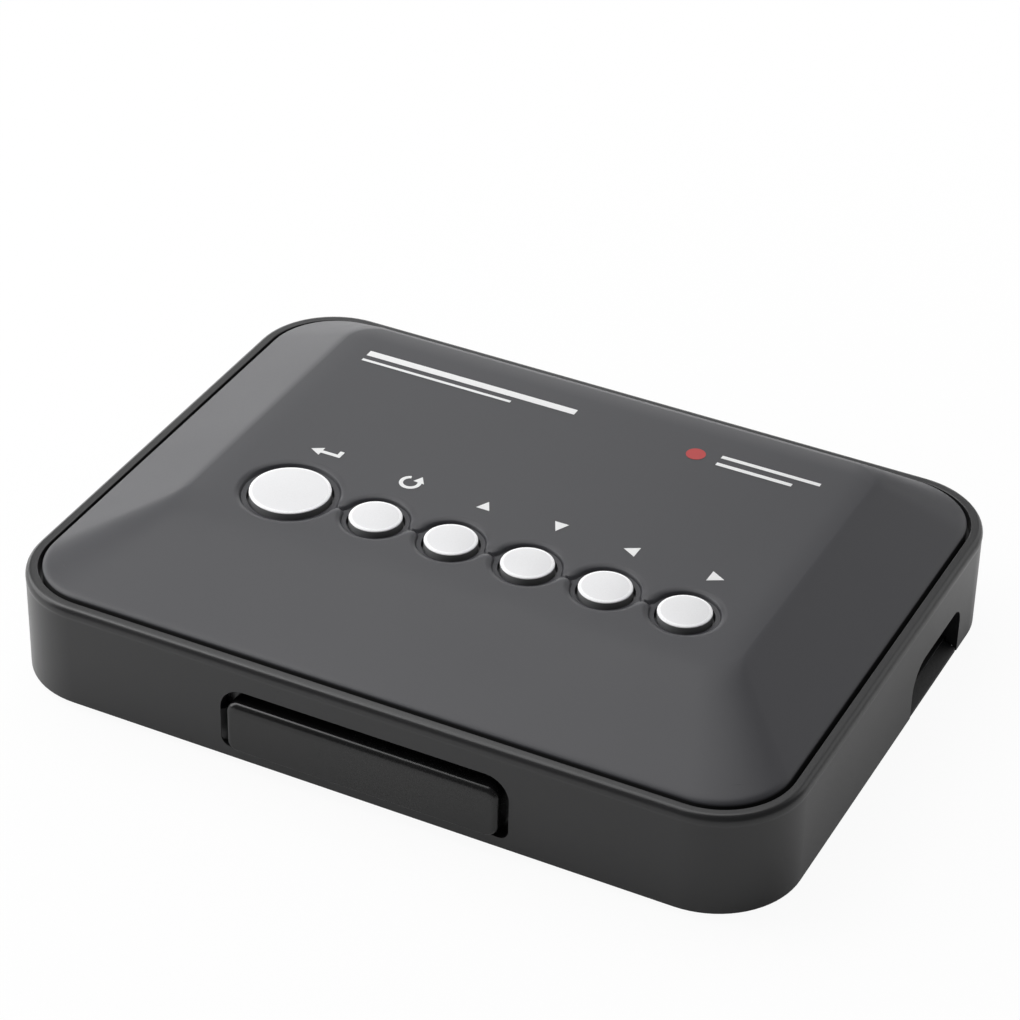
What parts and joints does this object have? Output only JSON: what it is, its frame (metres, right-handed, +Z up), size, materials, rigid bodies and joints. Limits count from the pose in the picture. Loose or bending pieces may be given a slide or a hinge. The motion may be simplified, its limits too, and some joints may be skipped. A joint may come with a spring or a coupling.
{
  "type": "media player",
  "caption": "Small black media player with a crowned charcoal cover, silver-white round buttons in a chain of wells and a smoked front window.",
  "frame": {"origin": "below the middle of the whole part, on the surface that the feet stand on", "axes": "+X to the right along the button row, +Y to the rear where the sockets are, +Z up"},
  "size_m": [0.13, 0.0978, 0.0256],
  "materials": {
    "case_plastic": "satin black moulded walls",
    "cover_plastic": "fine matt charcoal with a soft sheen",
    "base_plastic": "lightly textured black",
    "window_plastic": "polished smoked plastic",
    "foot_rubber": "soft black pad",
    "screw_steel": "zinc-plated",
    "button_paint": "silver-white, satin gloss",
    "black_nylon": "matt black moulding",
    "white_nylon": "natural nylon",
    "board_laminate": "green solder mask",
    "chip_epoxy": "moulded epoxy",
    "sink_aluminium": "plain extruded",
    "plug_steel": "nickel-plated sheet",
    "dark_sleeve": "dark sleeve",
    "clear_epoxy": "clear epoxy",
    "ribbon_film": "flat film"
  },
  "bodies": {
    "body": {"case_body": "case_plastic", "top_cover": "cover_plastic", "base_plate": "base_plastic", "front_window": "window_plastic", "foot_front_left": "foot_rubber", "foot_front_right": "foot_rubber", "foot_rear_left": "foot_rubber", "foot_rear_right": "foot_rubber", "case_screw_front_left": "screw_steel", "case_screw_front_right": "screw_steel", "case_screw_rear_left": "screw_steel", "case_screw_rear_right": "screw_steel", "board_screw_front_left": "screw_steel", "board_screw_front_right": "screw_steel", "board_screw_rear_left": "screw_steel", "board_screw_rear_right": "screw_steel", "key_screw_1": "screw_steel", "key_screw_2": "screw_steel", "key_screw_3": "screw_steel", "switch_enter": "black_nylon", "switch_menu": "black_nylon", "switch_up": "black_nylon", "switch_down": "black_nylon", "switch_left": "black_nylon", "switch_right": "black_nylon", "key_board": "board_laminate", "main_board": "board_laminate", "processor": "chip_epoxy", "memory_chip_1": "chip_epoxy", "memory_chip_2": "chip_epoxy", "flash_chip": "chip_epoxy", "infra_red_receiver": "chip_epoxy", "heat_sink": "sink_aluminium", "crystal": "plug_steel", "usb_shell": "plug_steel", "hdmi_shell": "plug_steel", "card_socket": "plug_steel", "capacitor_1": "dark_sleeve", "capacitor_2": "dark_sleeve", "inductor": "dark_sleeve", "status_lamp": "clear_epoxy", "usb_tongue": "black_nylon", "hdmi_tongue": "black_nylon", "av_jack": "black_nylon", "power_jack": "black_nylon", "key_connector": "white_nylon", "main_connector": "white_nylon", "ribbon_cable": "ribbon_film"},
    "button_enter_body": {"button_enter": "button_paint", "plunger_enter": "white_nylon"},
    "button_menu_body": {"button_menu": "button_paint", "plunger_menu": "white_nylon"},
    "button_up_body": {"button_up": "button_paint", "plunger_up": "white_nylon"},
    "button_down_body": {"button_down": "button_paint", "plunger_down": "white_nylon"},
    "button_left_body": {"button_left": "button_paint", "plunger_left": "white_nylon"},
    "button_right_body": {"button_right": "button_paint", "plunger_right": "white_nylon"}
  },
  "joints": [
    {"name": "enter_press", "type": "slide", "parent": "body", "child": "button_enter_body", "axis": [0, 0, -1], "range_m": [0, 0.0005], "stiffness_N_per_m": 3000, "springref_m": -0.0002},
    {"name": "menu_press", "type": "slide", "parent": "body", "child": "button_menu_body", "axis": [0, 0, -1], "range_m": [0, 0.0005], "stiffness_N_per_m": 3000, "springref_m": -0.0002},
    {"name": "up_press", "type": "slide", "parent": "body", "child": "button_up_body", "axis": [0, 0, -1], "range_m": [0, 0.0005], "stiffness_N_per_m": 3000, "springref_m": -0.0002},
    {"name": "down_press", "type": "slide", "parent": "body", "child": "button_down_body", "axis": [0, 0, -1], "range_m": [0, 0.0005], "stiffness_N_per_m": 3000, "springref_m": -0.0002},
    {"name": "left_press", "type": "slide", "parent": "body", "child": "button_left_body", "axis": [0, 0, -1], "range_m": [0, 0.0005], "stiffness_N_per_m": 3000, "springref_m": -0.0002},
    {"name": "right_press", "type": "slide", "parent": "body", "child": "button_right_body", "axis": [0, 0, -1], "range_m": [0, 0.0005], "stiffness_N_per_m": 3000, "springref_m": -0.0002}
  ]
}
